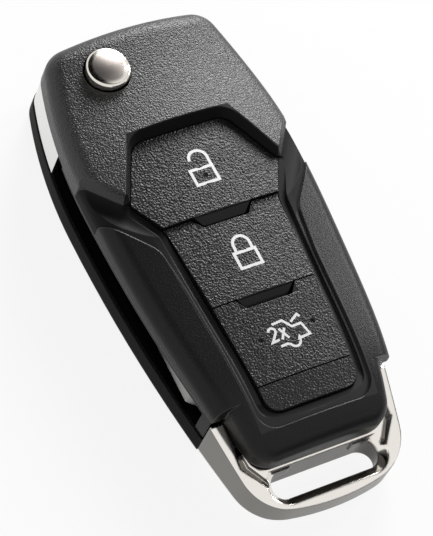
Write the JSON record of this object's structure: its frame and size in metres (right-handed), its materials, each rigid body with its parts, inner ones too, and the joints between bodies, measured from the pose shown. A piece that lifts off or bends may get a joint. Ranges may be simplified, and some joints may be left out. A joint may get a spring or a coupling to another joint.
{
  "type": "flip key remote shell",
  "caption": "Empty flip key remote case with press buttons, a sprung release that frees a folding key blade, and a metal loop for the key ring.",
  "frame": {"origin": "middle of the footprint, on the surface the key lies on, back down", "axes": "+Z out of the button face, +Y towards the flip end, +X to the right as the buttons are read"},
  "size_m": [0.0372, 0.0816, 0.0185],
  "materials": {
    "shell_black": "moulded, pebbled above the ribbon, finer below it, smooth in the ribbon",
    "rear_black": "moulded, fine satin texture",
    "chassis_gloss": "smooth gloss black",
    "loop_chrome": "polished plating over faceted casting",
    "pin_steel": "plain ground steel",
    "screw_steel": "zinc plated",
    "head_nickel": "satin nickel plating",
    "blade_nickel": "nickel plated steel, uncut",
    "release_chrome": "polished plating, domed",
    "plunger_steel": "turned steel",
    "cup_steel": "pressed steel",
    "spring_steel": "drawn spring wire",
    "button_black": "moulded, pebbled, with white printed signs",
    "panel_black": "moulded, fine satin texture",
    "carrier_black": "moulded",
    "membrane_grey": "moulded silicone"
  },
  "bodies": {
    "case": {"front_shell": "shell_black", "rear_shell": "rear_black", "chassis_base": "chassis_gloss", "chassis_cover": "chassis_gloss", "key_loop": "loop_chrome", "loop_pins": "pin_steel", "case_screws": "screw_steel", "spring_cup": "cup_steel", "flip_spring": "spring_steel", "blank_panel": "panel_black", "button_carrier": "carrier_black", "button_membrane": "membrane_grey"},
    "blade": {"flip_head": "head_nickel", "key_blade": "blade_nickel", "blade_pin": "pin_steel"},
    "release": {"release_button": "release_chrome", "release_plunger": "plunger_steel"},
    "unlock": {"unlock_button": "button_black"},
    "lock": {"lock_button": "button_black"},
    "boot": {"boot_button": "button_black"}
  },
  "joints": [
    {"name": "blade_flip", "type": "hinge", "parent": "case", "child": "blade", "pos_m": [-0.0068, 0.0335, 0.0075], "axis": [0, 0, -1], "range_deg": [0, 180]},
    {"name": "release_press", "type": "slide", "parent": "blade", "child": "release", "axis": [0, 0, -1], "range_m": [0, 0.0016], "stiffness_N_per_m": 900, "springref_m": -0.001, "deforming": ["flip_spring"]},
    {"name": "unlock_press", "type": "slide", "parent": "case", "child": "unlock", "axis": [0, 0, -1], "range_m": [0, 0.0005], "stiffness_N_per_m": 2500, "springref_m": -0.0002, "deforming": ["button_membrane"]},
    {"name": "lock_press", "type": "slide", "parent": "case", "child": "lock", "axis": [0, 0, -1], "range_m": [0, 0.0005], "stiffness_N_per_m": 2500, "springref_m": -0.0002, "deforming": ["button_membrane"]},
    {"name": "boot_press", "type": "slide", "parent": "case", "child": "boot", "axis": [0, 0, -1], "range_m": [0, 0.0005], "stiffness_N_per_m": 2500, "springref_m": -0.0002, "deforming": ["button_membrane"]}
  ]
}
